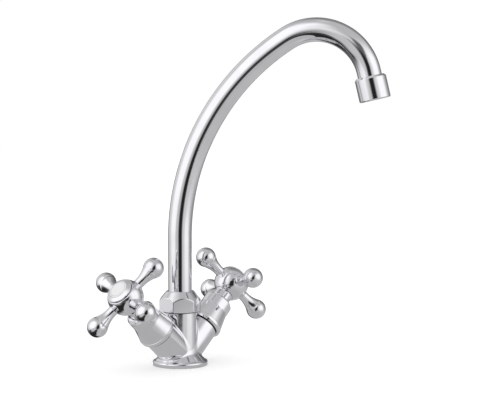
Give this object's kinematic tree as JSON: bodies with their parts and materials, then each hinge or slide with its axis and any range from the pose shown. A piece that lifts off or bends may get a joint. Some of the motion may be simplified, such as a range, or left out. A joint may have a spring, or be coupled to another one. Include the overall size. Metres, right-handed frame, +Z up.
{
  "type": "two handle kitchen faucet",
  "caption": "Chromed deck mixer with an inclined arm and a ball-ended cross handle on each side, a hexagon nut and a tall swivelling gooseneck spout with a round aerator.",
  "frame": {"origin": "centre of the body flange's underside, on the column's axis", "axes": "+Z up along the column; the two handles lie along X, hot at -X and cold at +X; the user stands at -Y"},
  "size_m": [0.189, 0.1964, 0.293],
  "materials": {
    "chrome_cast": "polished chrome plate on cast brass",
    "chrome_tube": "polished chrome plate on drawn brass tube",
    "chrome_trim": "polished chrome plate on turned brass",
    "chrome_handle": "polished chrome plate on a cast handle",
    "index_white": "smooth glossy white plastic, no marking",
    "brass_valve": "machined brass, unplated",
    "ceramic_white": "lapped ceramic",
    "rubber_black": "matt black sealing rubber",
    "plastic_ring": "natural white slippery plastic",
    "plastic_insert": "light grey moulded plastic",
    "steel_small": "plain stainless steel"
  },
  "bodies": {
    "root": {"body_casting": "chrome_cast", "base_seal": "rubber_black", "spout_nut": "chrome_trim", "spout_slip_ring": "plastic_ring", "spout_split_ring": "plastic_ring", "hot_headwork": "brass_valve", "hot_headwork_gasket": "plastic_ring", "hot_seat_seal": "rubber_black", "hot_fixed_disc": "ceramic_white", "hot_thrust_washer": "plastic_ring", "hot_bonnet": "chrome_trim", "cold_headwork": "brass_valve", "cold_headwork_gasket": "plastic_ring", "cold_seat_seal": "rubber_black", "cold_fixed_disc": "ceramic_white", "cold_thrust_washer": "plastic_ring", "cold_bonnet": "chrome_trim"},
    "spout": {"spout_tube": "chrome_tube", "spout_ferrule": "brass_valve", "spout_seals": "rubber_black", "tip_ferrule": "brass_valve", "aerator_shell": "chrome_trim", "aerator_washer": "rubber_black", "aerator_insert": "plastic_insert", "aerator_screen": "plastic_insert"},
    "hot_handle": {"hot_handle": "chrome_handle", "hot_spindle": "brass_valve", "hot_moving_disc": "ceramic_white", "hot_spindle_seals": "rubber_black", "hot_circlip": "steel_small", "hot_handle_screw": "steel_small", "hot_index_bezel": "chrome_trim", "hot_index_disc": "index_white"},
    "cold_handle": {"cold_handle": "chrome_handle", "cold_spindle": "brass_valve", "cold_moving_disc": "ceramic_white", "cold_spindle_seals": "rubber_black", "cold_circlip": "steel_small", "cold_handle_screw": "steel_small", "cold_index_bezel": "chrome_trim", "cold_index_disc": "index_white"}
  },
  "joints": [
    {"name": "spout_swivel", "type": "hinge", "parent": "root", "child": "spout", "pos_m": [0, 0, 0], "axis": [0, 0, 1], "continuous": true},
    {"name": "hot_handle_turn", "type": "hinge", "parent": "root", "child": "hot_handle", "pos_m": [0, 0, 0.00754], "axis": [-0.7524, 0, 0.6587], "range_deg": [0, 90]},
    {"name": "cold_handle_turn", "type": "hinge", "parent": "root", "child": "cold_handle", "pos_m": [0, 0, 0.00754], "axis": [0.7524, 0, 0.6587], "range_deg": [0, 90]}
  ]
}
